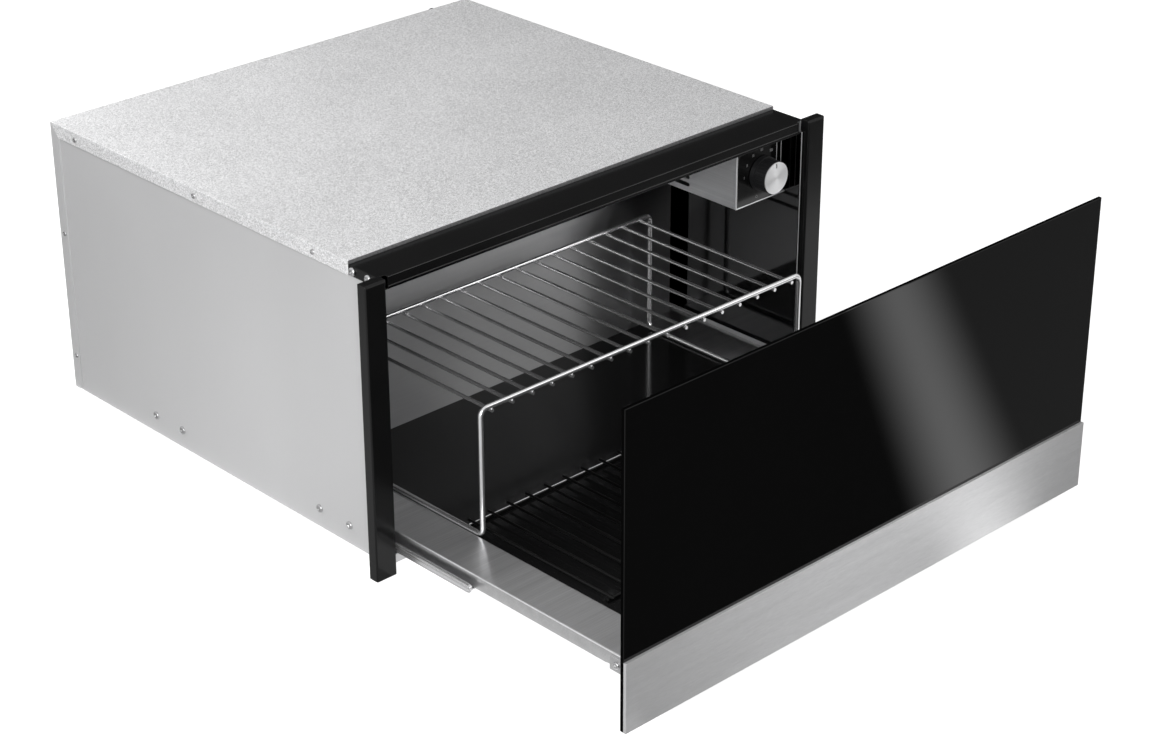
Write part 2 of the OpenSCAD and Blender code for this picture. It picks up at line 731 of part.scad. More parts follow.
module knob() color(black) at_cabinet() translate([knob_x, 0, knob_z]) difference() {
    union() {
        rod_y(knob_r, knob_front + cap_t, knob_back - skirt_l);
        rod_y(knob_r + 1, knob_back - skirt_l, knob_back);
    }
    rod_y(shaft_r + shaft_fit, knob_front + knob_wall, knob_back + over);
    // finger grooves round the barrel
    for (i = [0 : groove_n - 1]) rotate([0, i * 360 / groove_n, 0])
        translate([knob_r + groove_r / 2, 0, 0])
            rod_y(groove_r, knob_front + cap_t - over, knob_back - skirt_l - 1);
}

module knob_cap() color(steel) at_cabinet() translate([knob_x, 0, knob_z]) difference() {
    rod_y(knob_r - 0.5, knob_front, knob_front + cap_t);
    slab([-mark_w / 2, mark_w / 2], [knob_front - over, knob_front + cap_t + over],
         [knob_r - mark_rim - mark_l, knob_r - mark_rim]);
}

// ---- Latch ----

module latch_body() color(black) at_cabinet() difference() {
    slab([-latch_w / 2, latch_w / 2], [latch_y0, latch_y1], [floor_top, floor_top + latch_h]);
    translate([0, 0, plunger_z]) rod_y(plunger_r + shaft_fit, latch_y0 - over, latch_y1 - latch_wall);
}
module latch_plunger() color("#e4e4e2") at_cabinet() translate([0, 0, plunger_z])
    rod_y(plunger_r, plunger_tip, plunger_end);
module latch_striker() color(steel) at_drawer() {
    half = latch_w / 2;
    slab([-half, half], [striker_y - striker_t, striker_y], [floor_top + striker_up, pan_z]);
    slab([-half, half], [striker_y - striker_l, striker_y], [pan_z - striker_t, pan_z]);
}

// ---- Slides ----

module slide_outer() difference() {
    y = [slide_y0, slide_y0 + slide_len];
    union() {
        slab([side_in - slide_t, side_in], y, [slide_z - outer_half, slide_z + outer_half]);
        for (z = [slide_z - outer_half, slide_z + outer_half - slide_t])
            slab([side_in - outer_reach, side_in], y, [z, z + slide_t]);
    }
    holes_x(slide_screw_y, [slide_screw_z], screw_hole, side_in - slide_t, side_in);
}
module slide_outer_right() color(zinc) at_cabinet() slide_outer();
module slide_outer_left() color(zinc) at_cabinet() on_left() slide_outer();

module slide_middle() {
    y = [mid_y0, mid_y0 + mid_len];
    low = slide_z - run_half;
    slab([mid_web_x - slide_t, mid_web_x], y, [low, low + slide_h]);
    slab([drawer_x + mid_clear, mid_web_x], y, [low + slide_h - slide_t, low + slide_h]);
    slab([drawer_x - mid_hook, mid_web_x], y, [low, low + slide_t]);
}
module slide_middle_right() color(chrome) at_middle() slide_middle();
module slide_middle_left() color(chrome) at_middle() on_left() slide_middle();

module slide_inner() {
    y = [inner_y0, inner_y0 + inner_len];
    corner = side_bend - sheet;
    slab([inner_web_x - slide_t, inner_web_x], y, [inner_foot, ledge_under - corner]);
    slab([inner_web_x - inner_lip, inner_web_x], y, [inner_foot, inner_foot + slide_t]);
    slab([inner_web_x - inner_top_lip, inner_web_x - corner], y,
         [ledge_under - slide_t, ledge_under]);
}
module slide_inner_right() color(zinc) at_drawer() slide_inner();
module slide_inner_left() color(zinc) at_drawer() on_left() slide_inner();

// ---- Drawer ----

module drawer_side() difference() {
    y = [inner_back, rear_y - sheet];
    bend = side_bend;
    translate([0, y[1], 0]) rotate([90, 0, 0]) linear_extrude(y[1] - y[0]) union() {
        translate([ledge_x, ledge_under]) square([ledge_w - bend, sheet]);
        translate([drawer_x - sheet, skirt_z]) square([sheet, ledge_z - bend - skirt_z]);
        translate([drawer_x - bend, ledge_z - bend]) intersection() {
            difference() {
                circle(r = bend);
                circle(r = bend - sheet);
            }
            square(bend + 1);
        }
    }
    holes_x([bracket_y[1], bracket_y[2]], [bracket_z], screw_hole, drawer_x - sheet, drawer_x);
}
module drawer_side_right() color(steel) at_drawer() drawer_side();
module drawer_side_left() color(steel) at_drawer() on_left() drawer_side();

module drawer_pan() color(zinc) at_drawer() {
    y = [inner_back, rear_y - sheet];
    slab([-ledge_x - sheet, ledge_x + sheet], y, [pan_z, pan_z + sheet]);
    both_sides() slab([ledge_x, ledge_x + sheet], y, [pan_z, ledge_under]);
}

module floor_plate() color(gloss_black) at_drawer()
    slab([-ledge_x + fit, ledge_x - fit], [inner_back, rear_y - sheet], [pan_z + sheet, plate_top]);

module drawer_rear_wall() color(polished) at_drawer() {
    x = drawer_x - rear_wall_in;
    slab([-x, x], [rear_y - sheet, rear_y], [pan_z, rear_wall_top]);
    slab([-x, x], [rear_y, rear_y + sheet], [rear_wall_top - wall_lip, rear_wall_top]);
}

// A shallow pan whose open side faces the glass
module door_inner_panel() color(steel) at_drawer() difference() {
    slab([-drawer_x, drawer_x], [glass_back, inner_back], [skirt_z, inner_top]);
    slab([-drawer_x + sheet, drawer_x - sheet], [glass_back - over, inner_back - sheet],
         [skirt_z + sheet, inner_top - sheet]);
    both_sides() holes_x([bracket_y[0]], [bracket_z], screw_hole, drawer_x - sheet, drawer_x);
}

// A plate whose long edges are bevelled, front and back
module bevelled_plate(w, y0, t, z0, h, bevel) {
    intersection() {
        plate_x(-w / 2, w, [
            [y0, z0 + bevel], [y0 + bevel, z0], [y0 + t - bevel, z0], [y0 + t, z0 + bevel],
            [y0 + t, z0 + h - bevel], [y0 + t - bevel, z0 + h], [y0 + bevel, z0 + h],
            [y0, z0 + h - bevel]
        ]);
        translate([0, 0, z0]) linear_extrude(h) polygon([
            [-w / 2, y0 + bevel], [bevel - w / 2, y0], [w / 2 - bevel, y0], [w / 2, y0 + bevel],
            [w / 2, y0 + t - bevel], [w / 2 - bevel, y0 + t], [bevel - w / 2, y0 + t],
            [-w / 2, y0 + t - bevel]
        ]);
    }
}

module glass_front() color(gloss_black) at_drawer()
    bevelled_plate(panel_w, glass_back - glass_t, glass_t, 0, panel_h, edge_bevel);

// A folded strip: its face and four returns, open towards the glass
module trim_strip() color(steel) at_drawer() difference() {
    y1 = glass_back - glass_t;
    slab([-panel_w / 2, panel_w / 2], [y1 - strip_t, y1], [0, strip_h]);
    slab([sheet - panel_w / 2, panel_w / 2 - sheet], [y1 - strip_t + sheet, y1 + over],
         [sheet, strip_h - sheet]);
}

module door_brackets() color(zinc) at_drawer() both_sides() difference() {
    slab([drawer_x, drawer_x + bracket_t], [glass_back + 3, inner_back + bracket_lap],
         [bracket_z - bracket_half, bracket_z + bracket_half]);
    holes_x(bracket_y, [bracket_z], screw_hole, drawer_x, drawer_x + bracket_t);
}
module bracket_screws() color(chrome) at_drawer() both_sides()
    screws_x(bracket_y, [bracket_z], bracket_head, large_head_h, drawer_x + bracket_t,
             bracket_t + 2 * sheet);

// ---- Racks ----

// A quarter bend of wire that starts at the origin, runs along +Z and turns towards +X
module bend_xz(r, bend) {
    translate([bend, 0, 0]) rotate([90, 0, 0]) rotate([0, 0, 90])
        rotate_extrude(angle = 90) translate([bend, 0]) circle(r = r, $fn = 24);
}

module rack_end() {
    top = rack_z + rack_h;
    leg_top = top - rack_bend;
    both_sides() {
        translate([rack_x, 0, 0]) rod_z(frame_r, rack_z + rack_bend, leg_top);
        on_left() translate([-rack_x, 0, leg_top]) bend_xz(frame_r, rack_bend);
    }
    translate([0, 0, top]) rod_x(frame_r, -rack_x + rack_bend, rack_x - rack_bend);
}

// The bend at a leg's foot, which turns into the wire on the floor
module rack_foot() {
    translate([0, 0, rack_z + rack_bend]) mirror([0, 0, 1]) rotate([0, 0, 90])
        bend_xz(frame_r, rack_bend);
}

// One wire bent into a closed loop: two ends and the two wires on the floor
module table_rack() color(chrome) at_drawer() {
    translate([0, rack_y0, 0]) rack_end();
    translate([0, rack_y1, 0]) rack_end();
    for (x = [-rack_x, rack_x]) {
        translate([x, 0, rack_z]) rod_y(frame_r, rack_y0 + rack_bend, rack_y1 - rack_bend);
        translate([x, rack_y0, 0]) rack_foot();
        translate([x, rack_y1, 0]) mirror([0, 1, 0]) rack_foot();
    }
}

// The wires that carry the plates, welded under the two ends' top bars
module rack_cross_wires() color(chrome) at_drawer() {
    cross_z = rack_z + rack_h - frame_r - cross_r + weld;
    first_x = rack_x - cross_in;
    pitch = 2 * first_x / (cross_n - 1);
    for (i = [0 : cross_n - 1]) translate([i * pitch - first_x, 0, cross_z])
        rod_y(cross_r, rack_y0 - wire_out, rack_y1 + wire_out);
}

module base_rack() color(black) at_drawer() {
    bar_x = rack_x - frame_r - rack_clear;
    first_x = bar_x - grid_in;
    pitch = 2 * first_x / (grid_n - 1);
    wire_z = bar_z + bar_r + grid_r - weld;
    for (y = [base_rack_y, base_rack_y + base_rack_d])
        translate([0, y, bar_z]) rod_x(bar_r, -bar_x, bar_x);
    for (i = [0 : grid_n - 1]) translate([i * pitch - first_x, 0, wire_z])
        rod_y(grid_r, base_rack_y - grid_out, base_rack_y + base_rack_d + grid_out);
}

top_cover();
side_panel_left();
side_panel_right();
rear_panel();
base_pan();
post_left();
post_right();
top_rail();
liner_left();
liner_right();
liner_back();
liner_ceiling();
cavity_floor();
felt_left();
felt_right();
insulation_top();
insulation_back();
insulation_base();
control_box();
control_fascia();
thermostat();
heater();
fan_motor();
thermal_cutout();
terminal_block();
wiring_loom();
cord_gland();
latch_body();
slide_outer_left();
slide_outer_right();
cover_screws();
rail_screws();
rear_screws();
slide_screws();
feet();
slide_middle_left();
slide_middle_right();
drawer_side_left();
drawer_side_right();
drawer_pan();
floor_plate();
drawer_rear_wall();
slide_inner_left();
slide_inner_right();
door_inner_panel();
glass_front();
trim_strip();
door_brackets();
bracket_screws();
table_rack();
rack_cross_wires();
base_rack();
latch_striker();
knob();
knob_cap();
thermostat_shaft();
fan_wheel();
latch_plunger();
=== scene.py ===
import json
import math

import bmesh
import bpy
from mathutils import Matrix, Vector
from mathutils.geometry import tessellate_polygon


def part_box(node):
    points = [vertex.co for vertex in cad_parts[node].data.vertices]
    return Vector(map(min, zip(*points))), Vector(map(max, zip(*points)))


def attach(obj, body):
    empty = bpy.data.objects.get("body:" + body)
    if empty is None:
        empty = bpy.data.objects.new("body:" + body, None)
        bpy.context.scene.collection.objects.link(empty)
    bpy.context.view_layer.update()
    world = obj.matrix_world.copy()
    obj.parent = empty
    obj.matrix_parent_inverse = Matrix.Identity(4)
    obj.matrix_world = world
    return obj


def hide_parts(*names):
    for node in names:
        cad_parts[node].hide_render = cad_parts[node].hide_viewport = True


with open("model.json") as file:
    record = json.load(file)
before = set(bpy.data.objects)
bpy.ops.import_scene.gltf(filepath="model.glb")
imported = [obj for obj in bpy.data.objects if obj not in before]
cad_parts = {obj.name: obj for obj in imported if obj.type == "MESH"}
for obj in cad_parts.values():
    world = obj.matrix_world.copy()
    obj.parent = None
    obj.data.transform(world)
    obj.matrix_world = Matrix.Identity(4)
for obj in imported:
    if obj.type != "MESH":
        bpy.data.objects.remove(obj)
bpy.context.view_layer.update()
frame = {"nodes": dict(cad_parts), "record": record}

# ---- Camera -------------------------------------------------------------------------------
# The photograph's frame, and the view that its edges give, in the row frame.
PHOTO_W = 1156
SENSOR_MM = 36.0
FOCAL_PX = 2631.6
VIEW_AZIMUTH = -43.41            # degrees round from the door side, towards -X
VIEW_ELEVATION = 26.54
VIEW_ROLL = -0.18
VIEW_TARGET = Vector((-0.2695, -0.3319, 0.2903))
VIEW_DISTANCE = 2.0479
NEAR_CLIP = 0.05

MM = 0.001


def add_camera():
    azimuth, elevation, roll = (math.radians(a) for a in (VIEW_AZIMUTH, VIEW_ELEVATION, VIEW_ROLL))
    back = Vector((math.sin(azimuth) * math.cos(elevation),
                   -math.cos(azimuth) * math.cos(elevation),
                   math.sin(elevation)))
    right = Vector((0, 0, 1)).cross(back).normalized()
    up = back.cross(right)
    turned_right = right * math.cos(roll) + up * math.sin(roll)
    turned_up = up * math.cos(roll) - right * math.sin(roll)
    data = bpy.data.cameras.new("camera")
    data.sensor_width = SENSOR_MM
    data.lens = FOCAL_PX / PHOTO_W * SENSOR_MM
    data.clip_start = NEAR_CLIP
    camera = bpy.data.objects.new("camera", data)
    axes = Matrix((turned_right, turned_up, back)).transposed()
    camera.matrix_world = Matrix.Translation(VIEW_TARGET + back * VIEW_DISTANCE) @ axes.to_4x4()
    bpy.context.scene.collection.objects.link(camera)
    bpy.context.scene.camera = camera
    bpy.context.scene.view_settings.view_transform = "Standard"


# ---- Material helpers ---------------------------------------------------------------------

class Finish:
    """A material with one Principled shader, to which textures are added node by node."""

    def __init__(self, name, color=(0.5, 0.5, 0.5), **sockets):
        self.material = bpy.data.materials.new(name)
        self.material.use_nodes = True
        self.tree = self.material.node_tree
        self.shader = self.tree.nodes["Principled BSDF"]
        self.shader.inputs["Base Color"].default_value = (*color, 1)
        for socket, value in sockets.items():
            self.shader.inputs[socket.replace("_", " ").title().replace("Ior", "IOR")].default_value = value
        self.position = self.node("ShaderNodeTexCoord").outputs["Object"]

    def node(self, kind, inputs=None, **settings):
        made = self.tree.nodes.new(kind)
        for name, value in settings.items():
            setattr(made, name, value)
        for socket, value in (inputs or {}).items():
            if isinstance(value, bpy.types.NodeSocket):
                self.tree.links.new(value, made.inputs[socket])
            else:
                made.inputs[socket].default_value = value
        return made

    def stretched(self, scale):
        """Object coordinates, in metres, multiplied by scale."""
        return self.node("ShaderNodeMapping", {"Vector": self.position, "Scale": scale}).outputs[0]

    def noise(self, scale, detail=2.0, roughness=0.5, vector=None):
        made = self.node("ShaderNodeTexNoise", {
            "Vector": vector or self.position, "Scale": scale, "Detail": detail,
            "Roughness": roughness})
        return made.outputs["Fac"]

    def cells(self, scale, vector=None):
        """A random value for each cell."""
        made = self.node("ShaderNodeTexVoronoi", {"Vector": vector or self.position, "Scale": scale})
        return self.node("ShaderNodeSeparateColor", {"Color": made.outputs["Color"]}).outputs[0]

    def spread(self, value, low, high, start=0.0, end=1.0):
        """value, as it goes from start to end, becomes low to high."""
        made = self.node("ShaderNodeMapRange", {
            "Value": value, "From Min": start, "From Max": end, "To Min": low, "To Max": high})
        return made.outputs["Result"]

    def soft_step(self, value, start, end):
        """0 at start, 1 at end, with an easy curve between; start may be above end."""
        made = self.node("ShaderNodeMapRange", {
            "Value": value, "From Min": start, "From Max": end}, interpolation_type="SMOOTHSTEP")
        return made.outputs["Result"]

    def maths(self, operation, a, b):
        return self.node("ShaderNodeMath", {0: a, 1: b}, operation=operation).outputs[0]

    def shades(self, factor, dark, light):
        """A colour between dark and light."""
        made = self.node("ShaderNodeMix", {
            "Factor": factor, "A": (*dark, 1), "B": (*light, 1)}, data_type="RGBA")
        return made.outputs["Result"]

    def product(self, color, other):
        """Both colours multiplied."""
        made = self.node("ShaderNodeMix", {"Factor": 1.0, "A": color, "B": other},
                         data_type="RGBA", blend_type="MULTIPLY")
        return made.outputs["Result"]

    def tint(self, color):
        self.tree.links.new(color, self.shader.inputs["Base Color"])

    def rough(self, value):
        self.tree.links.new(value, self.shader.inputs["Roughness"])

    def bump(self, height, depth, strength=1.0, normal=None):
        inputs = {"Height": height, "Distance": depth, "Strength": strength}
        if normal is not None:
            inputs["Normal"] = normal
        made = self.node("ShaderNodeBump", inputs)
        self.tree.links.new(made.outputs["Normal"], self.shader.inputs["Normal"])
        return made.outputs["Normal"]

    def soft_edges(self, radius):
        """A normal that rounds the folds of the sheet."""
        return self.node("ShaderNodeBevel", {"Radius": radius}, samples=4).outputs["Normal"]

    def front_darkening(self, level):
        """White, and grey of that level on faces that look to the door side: a factor for a colour. It
        paints shade on the cover's front fold, and blackens the control box's front."""
        normal = self.node("ShaderNodeNewGeometry").outputs["True Normal"]
        y = self.node("ShaderNodeSeparateXYZ", {"Vector": normal}).outputs[1]
        return self.shades(self.spread(y, 1.0, 0.0, -0.8, -0.3), (1, 1, 1), grey(level))

    def smear(self, direction):
        """The way in which reflections are drawn out."""
        x, y, z = direction
        made = self.node("ShaderNodeCombineXYZ", {"X": x, "Y": y, "Z": z})
        self.tree.links.new(made.outputs[0], self.shader.inputs["Tangent"])


def grey(level):
    return (level, level, level * 1.01)


# ---- Materials ----------------------------------------------------------------------------

SHEET_SOFT = 1.2 * MM            # radius that shading gives the edges of painted and plain sheet
FINE_SOFT = 0.6 * MM             # of ground and polished sheet
SMALL_SOFT = 0.4 * MM            # and of plated parts

GRAIN = 1300.0                   # cells in a metre of the cover's coating
FOLD_SHADE = 0.25                # painted shade on the cover's front fold, darkened to match the photograph
BOX_FRONT_LEVEL = 0.01                 # the control box's front face, darkened to black, as dark as the fascia


def galvanised_cover():
    f = Finish("cover_zinc", metallic=0.4)
    fine = f.cells(GRAIN)
    coarse = f.noise(GRAIN * 0.45, detail=3.0, roughness=0.7)
    cloud = f.noise(9.0, detail=2.0)
    speckle = f.maths("ADD", f.maths("MULTIPLY", fine, 0.45), f.maths("MULTIPLY", coarse, 0.55))
    level = f.maths("ADD", speckle, f.maths("MULTIPLY", cloud, 0.15))
    plain = f.shades(f.spread(level, 0.0, 1.0, 0.35, 0.75), grey(0.54), grey(0.98))
    # painted shade: the cover's front fold, which faces the door side, is darkened
    f.tint(f.product(plain, f.front_darkening(FOLD_SHADE)))
    f.rough(f.spread(fine, 0.36, 0.56))
    f.bump(speckle, 0.12 * MM, 0.5, f.soft_edges(SHEET_SOFT))
    return f.material


def side_sheet():
    f = Finish("side_sheet", metallic=0.5)
    fine = f.noise(1400.0, detail=2.0)
    cloud = f.noise(3.0, detail=3.0, vector=f.stretched((1.0, 1.4, 0.5)))
    level = f.maths("ADD", f.maths("MULTIPLY", fine, 0.25), f.maths("MULTIPLY", cloud, 0.75))
    f.tint(f.shades(f.spread(level, 0.0, 1.0, 0.3, 0.7), grey(0.60), grey(0.67)))
    f.rough(f.spread(cloud, 0.42, 0.52))
    f.bump(fine, 0.02 * MM, 0.35, f.soft_edges(SHEET_SOFT))
    return f.material


def brushed_steel(name, grain, across, level=0.55, roughness=0.3, anisotropic=0.9, contrast=0.12,
                  metallic=1.0, shade=None):
    """Stainless sheet ground along one axis: grain holds the lines' scale in x, y and z, and
    reflections are drawn out across them. shade(finish) gives a colour to multiply by: the strip's painted
    highlight, and the control box's black front."""
    f = Finish(name, metallic=metallic, anisotropic=anisotropic)
    lines = f.noise(1.0, detail=3.0, roughness=0.75, vector=f.stretched(grain))
    broad = f.noise(1.0, detail=2.0, vector=f.stretched(tuple(g * 0.12 for g in grain)))
    level_map = f.maths("ADD", f.maths("MULTIPLY", lines, 0.7), f.maths("MULTIPLY", broad, 0.3))
    color = f.shades(f.spread(level_map, 0.0, 1.0, 0.3, 0.7),
                     grey(level * (1 - contrast)), grey(level * (1 + contrast)))
    f.tint(f.product(color, shade(f)) if shade else color)
    f.rough(f.spread(lines, roughness * 0.85, roughness * 1.15))
    f.bump(lines, 0.02 * MM, 0.4, f.soft_edges(FINE_SOFT))
    f.smear(across)
    return f.material


STRIP_HIGHLIGHT_RISE = (-0.40, 0.0)     # painted highlight on the strip, metres from the middle: rising from the left
STRIP_HIGHLIGHT_FALL = (0.03, 0.30)   # and falling towards the right
STRIP_LEFT = 0.48                # how bright the ends are, as shares of the middle
STRIP_RIGHT = 0.62


def strip_painted_highlight(f):
    """A painted highlight: brighter in the middle and darker towards both ends, to match the strip in the
    photograph.
    """
    x = f.node("ShaderNodeSeparateXYZ", {"Vector": f.position}).outputs[0]
    rise = f.soft_step(x, STRIP_HIGHLIGHT_RISE[0], STRIP_HIGHLIGHT_RISE[1])
    fall = f.soft_step(x, STRIP_HIGHLIGHT_FALL[1], STRIP_HIGHLIGHT_FALL[0])
    level = f.maths("MULTIPLY", f.spread(rise, STRIP_LEFT, 1.0), f.spread(fall, STRIP_RIGHT, 1.0))
    return f.shades(level, (0, 0, 0), (1, 1, 1))


def polished_liner():
    f = Finish("liner_steel", metallic=1.0)
    haze = f.noise(6.0, detail=3.0)
    lines = f.noise(1.0, detail=2.0, roughness=0.7, vector=f.stretched((8.0, 8.0, 2400.0)))
    f.tint(f.shades(haze, grey(0.045), grey(0.065)))
    f.rough(f.spread(haze, 0.03, 0.08))
    f.bump(lines, 0.004 * MM, 0.3, f.soft_edges(FINE_SOFT))
    return f.material


def black_paint(name, level=0.006, roughness=0.22):
    f = Finish(name, specular_ior_level=0.2)
    peel = f.noise(700.0, detail=2.0)
    cloud = f.noise(14.0, detail=3.0)
    f.tint(f.shades(cloud, grey(level * 0.8), grey(level * 1.25)))
    f.rough(f.spread(cloud, roughness * 0.85, roughness * 1.15))
    f.bump(peel, 0.03 * MM, 0.4, f.soft_edges(SHEET_SOFT))
    return f.material


def gloss_black(name, level=0.006, roughness=0.05, specular=0.4):
    f = Finish(name, specular_ior_level=specular)
    smear = f.noise(11.0, detail=4.0)
    f.tint(f.shades(smear, grey(level * 0.8), grey(level * 1.2)))
    f.rough(f.spread(smear, roughness * 0.7, roughness * 1.5))
    return f.material


def front_glass():
    """Polished in front and behind, with ground edges that mirror nothing."""
    f = Finish("front_glass")
    smear = f.noise(11.0, detail=4.0)
    f.tint(f.shades(smear, grey(0.0016), grey(0.0024)))
    f.rough(f.spread(smear, 0.014, 0.03))
    normal = f.node("ShaderNodeNewGeometry").outputs["True Normal"]
    y = f.maths("ABSOLUTE", f.node("ShaderNodeSeparateXYZ", {"Vector": normal}).outputs[1], 0.0)
    f.tree.links.new(f.spread(y, 0.0, 0.4, 0.5, 0.9), f.shader.inputs["Specular IOR Level"])
    return f.material


def wire_chrome(name, level=0.72, roughness=0.13):
    """Bright plating that still shows grey where it mirrors something black."""
    f = Finish(name, metallic=0.85)
    wear = f.noise(120.0, detail=3.0)
    f.tint(f.shades(wear, grey(level * 0.9), grey(level * 1.05)))
    f.rough(f.spread(wear, roughness * 0.8, roughness * 1.3))
    return f.material


def edge_steel(name, metallic=0.6):
    f = Finish(name, metallic=metallic)
    wear = f.noise(40.0, detail=2.0)
    f.tint(f.shades(wear, grey(0.78), grey(0.92)))
    f.rough(f.spread(wear, 0.28, 0.36))
    return f.material


def rolled_zinc():
    """The slides' bright members, drawn through rollers along Y."""
    f = Finish("rolled_zinc", metallic=0.8)
    lines = f.noise(1.0, detail=2.0, vector=f.stretched((1500.0, 5.0, 1500.0)))
    f.tint(f.shades(lines, grey(0.5), grey(0.66)))
    f.rough(f.spread(lines, 0.2, 0.32))
    f.bump(lines, 0.01 * MM, 0.3)
    return f.material


def chrome(name, level=0.72, roughness=0.08):
    f = Finish(name, metallic=1.0)
    wear = f.noise(160.0, detail=3.0)
    f.tint(f.shades(wear, grey(level * 0.92), grey(level * 1.05)))
    f.rough(f.spread(wear, roughness * 0.7, roughness * 1.6))
    f.bump(wear, 0.01 * MM, 0.3)
    return f.material


def plated_zinc(name, level=0.5, roughness=0.35):
    f = Finish(name, metallic=0.9)
    patches = f.noise(90.0, detail=4.0, roughness=0.65)
    f.tint(f.shades(patches, grey(level * 0.8), grey(level * 1.15)))
    f.rough(f.spread(patches, roughness * 0.8, roughness * 1.3))
    f.bump(patches, 0.02 * MM, 0.3, f.soft_edges(SMALL_SOFT))
    return f.material


def moulded_plastic(name, color, roughness=0.45):
    f = Finish(name, color=color, specular_ior_level=0.35)
    pores = f.noise(1800.0, detail=2.0)
    cloud = f.noise(40.0, detail=2.0)
    f.tint(f.shades(cloud, tuple(c * 0.85 for c in color), tuple(c * 1.1 for c in color)))
    f.rough(f.spread(cloud, roughness * 0.85, roughness * 1.15))
    f.bump(pores, 0.02 * MM, 0.5)
    return f.material


def mineral_wool():
    f = Finish("wool", sheen_weight=0.3)
    fibres = f.noise(420.0, detail=5.0, roughness=0.8)
    tufts = f.noise(60.0, detail=3.0)
    f.tint(f.shades(f.maths("MULTIPLY", f.maths("ADD", fibres, tufts), 0.5),
                    (0.36, 0.32, 0.20), (0.74, 0.69, 0.52)))
    f.rough(f.spread(fibres, 0.85, 1.0))
    f.bump(fibres, 0.8 * MM, 0.7)
    return f.material


def spun_aluminium():
    """Turned on a lathe: fine rings round the knob's axis."""
    f = Finish("spun_aluminium", metallic=0.7, anisotropic=0.85)
    low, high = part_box("knob_cap")
    centre = (low + high) / 2
    offset = f.node("ShaderNodeVectorMath", {0: f.position, 1: centre}, operation="SUBTRACT").outputs[0]
    flat = f.node("ShaderNodeVectorMath", {0: offset, 1: (1, 0, 1)}, operation="MULTIPLY").outputs[0]
    radius = f.node("ShaderNodeVectorMath", {0: flat}, operation="LENGTH").outputs["Value"]
    rings = f.node("ShaderNodeTexNoise", {"W": radius, "Scale": 5200.0, "Detail": 2.0},
                   noise_dimensions="1D").outputs["Fac"]
    f.tint(f.shades(rings, grey(0.84), grey(1.0)))
    f.rough(f.spread(rings, 0.24, 0.4))
    f.bump(rings, 0.01 * MM, 0.3)
    # reflections are drawn out from the centre, across the rings
    f.tree.links.new(flat, f.shader.inputs["Tangent"])
    return f.material


def ledge_steel(name):
    return brushed_steel(name, COARSE_X, (0, 1, 0), level=0.62, roughness=0.34, anisotropic=0.9,
                         contrast=0.2)


# Scales of the ground lines in x, y and z: small along the grain
ALONG_X = (6.0, 2600.0, 2600.0)
ALONG_Y = (2600.0, 6.0, 2600.0)
COARSE_X = (8.0, 1100.0, 1100.0)
SHORT_X = (120.0, 1500.0, 1500.0)

SLOT_FINISH = {
    "cover_zinc": galvanised_cover,
    "side_sheet": side_sheet,
    "inner_zinc": lambda: plated_zinc("inner_zinc"),
    "frame_black": lambda: black_paint("frame_black"),
    "liner_steel": polished_liner,
    "wool": mineral_wool,
    "stainless": lambda: brushed_steel("stainless", ALONG_X, (0, 0.7, 0.7)),
    "fascia_black": lambda: gloss_black("fascia_black"),
    "white_plastic": lambda: moulded_plastic("white_plastic", (0.75, 0.73, 0.67)),
    "aluminium": lambda: plated_zinc("aluminium", 0.6, 0.4),
    "motor_steel": lambda: black_paint("motor_steel", 0.06),
    "black_plastic": lambda: moulded_plastic("black_plastic", (0.014, 0.014, 0.015)),
    "gland_rubber": lambda: moulded_plastic("gland_rubber", (0.02, 0.02, 0.02), 0.75),
    "spun_aluminium": spun_aluminium,
    "screw_steel": lambda: chrome("screw_steel", 0.62, 0.2),
    "slide_bright": lambda: chrome("slide_bright", 0.6, 0.18),
    "floor_black": lambda: gloss_black("floor_black", 0.010, 0.09, 0.17),
    "front_glass": front_glass,
    "rack_chrome": lambda: wire_chrome("rack_chrome"),
    "rack_black": lambda: black_paint("rack_black", 0.003, 0.3),
}

# Sheets with another grain or brightness than their slot's
NODE_FINISH = {
    "drawer_side_left": lambda: ledge_steel("ledge_steel"),
    "drawer_side_right": lambda: ledge_steel("ledge_steel_right"),
    "control_box": lambda: brushed_steel(
        "box_steel", ALONG_Y, (0, 0, 1), level=0.85, roughness=0.35,
        shade=lambda f: f.front_darkening(BOX_FRONT_LEVEL)),
    "drawer_rear_wall": lambda: brushed_steel(
        "rear_wall_steel", ALONG_X, (0, 0, 1), level=0.36, roughness=0.40, anisotropic=1.0,
        contrast=0.05),
    # strip_steel: its colour carries a painted highlight, brightest near the middle
    "trim_strip": lambda: brushed_steel(
        "strip_steel", SHORT_X, (0, 0, 1), level=0.9, roughness=0.5, anisotropic=0.6,
        contrast=0.1, metallic=0.4, shade=strip_painted_highlight),
    # panel_steel: the stainless made darker, as painted shade on the door's inner panel
    "door_inner_panel": lambda: brushed_steel(
        "panel_steel", ALONG_X, (0, 0, 1), level=0.3, roughness=0.33),
}


def dress_frame():
    made = {}
    for part in frame["record"]["subparts"]:
        name, slot = part["node"], part["material_slot"]
        if name in NODE_FINISH:
            material = NODE_FINISH[name]()
        else:
            if slot not in made:
                made[slot] = SLOT_FINISH[slot]()
            material = made[slot]
        mesh = frame["nodes"][name].data
        mesh.materials.clear()
        mesh.materials.append(material)


# ---- Mesh helpers -------------------------------------------------------------------------

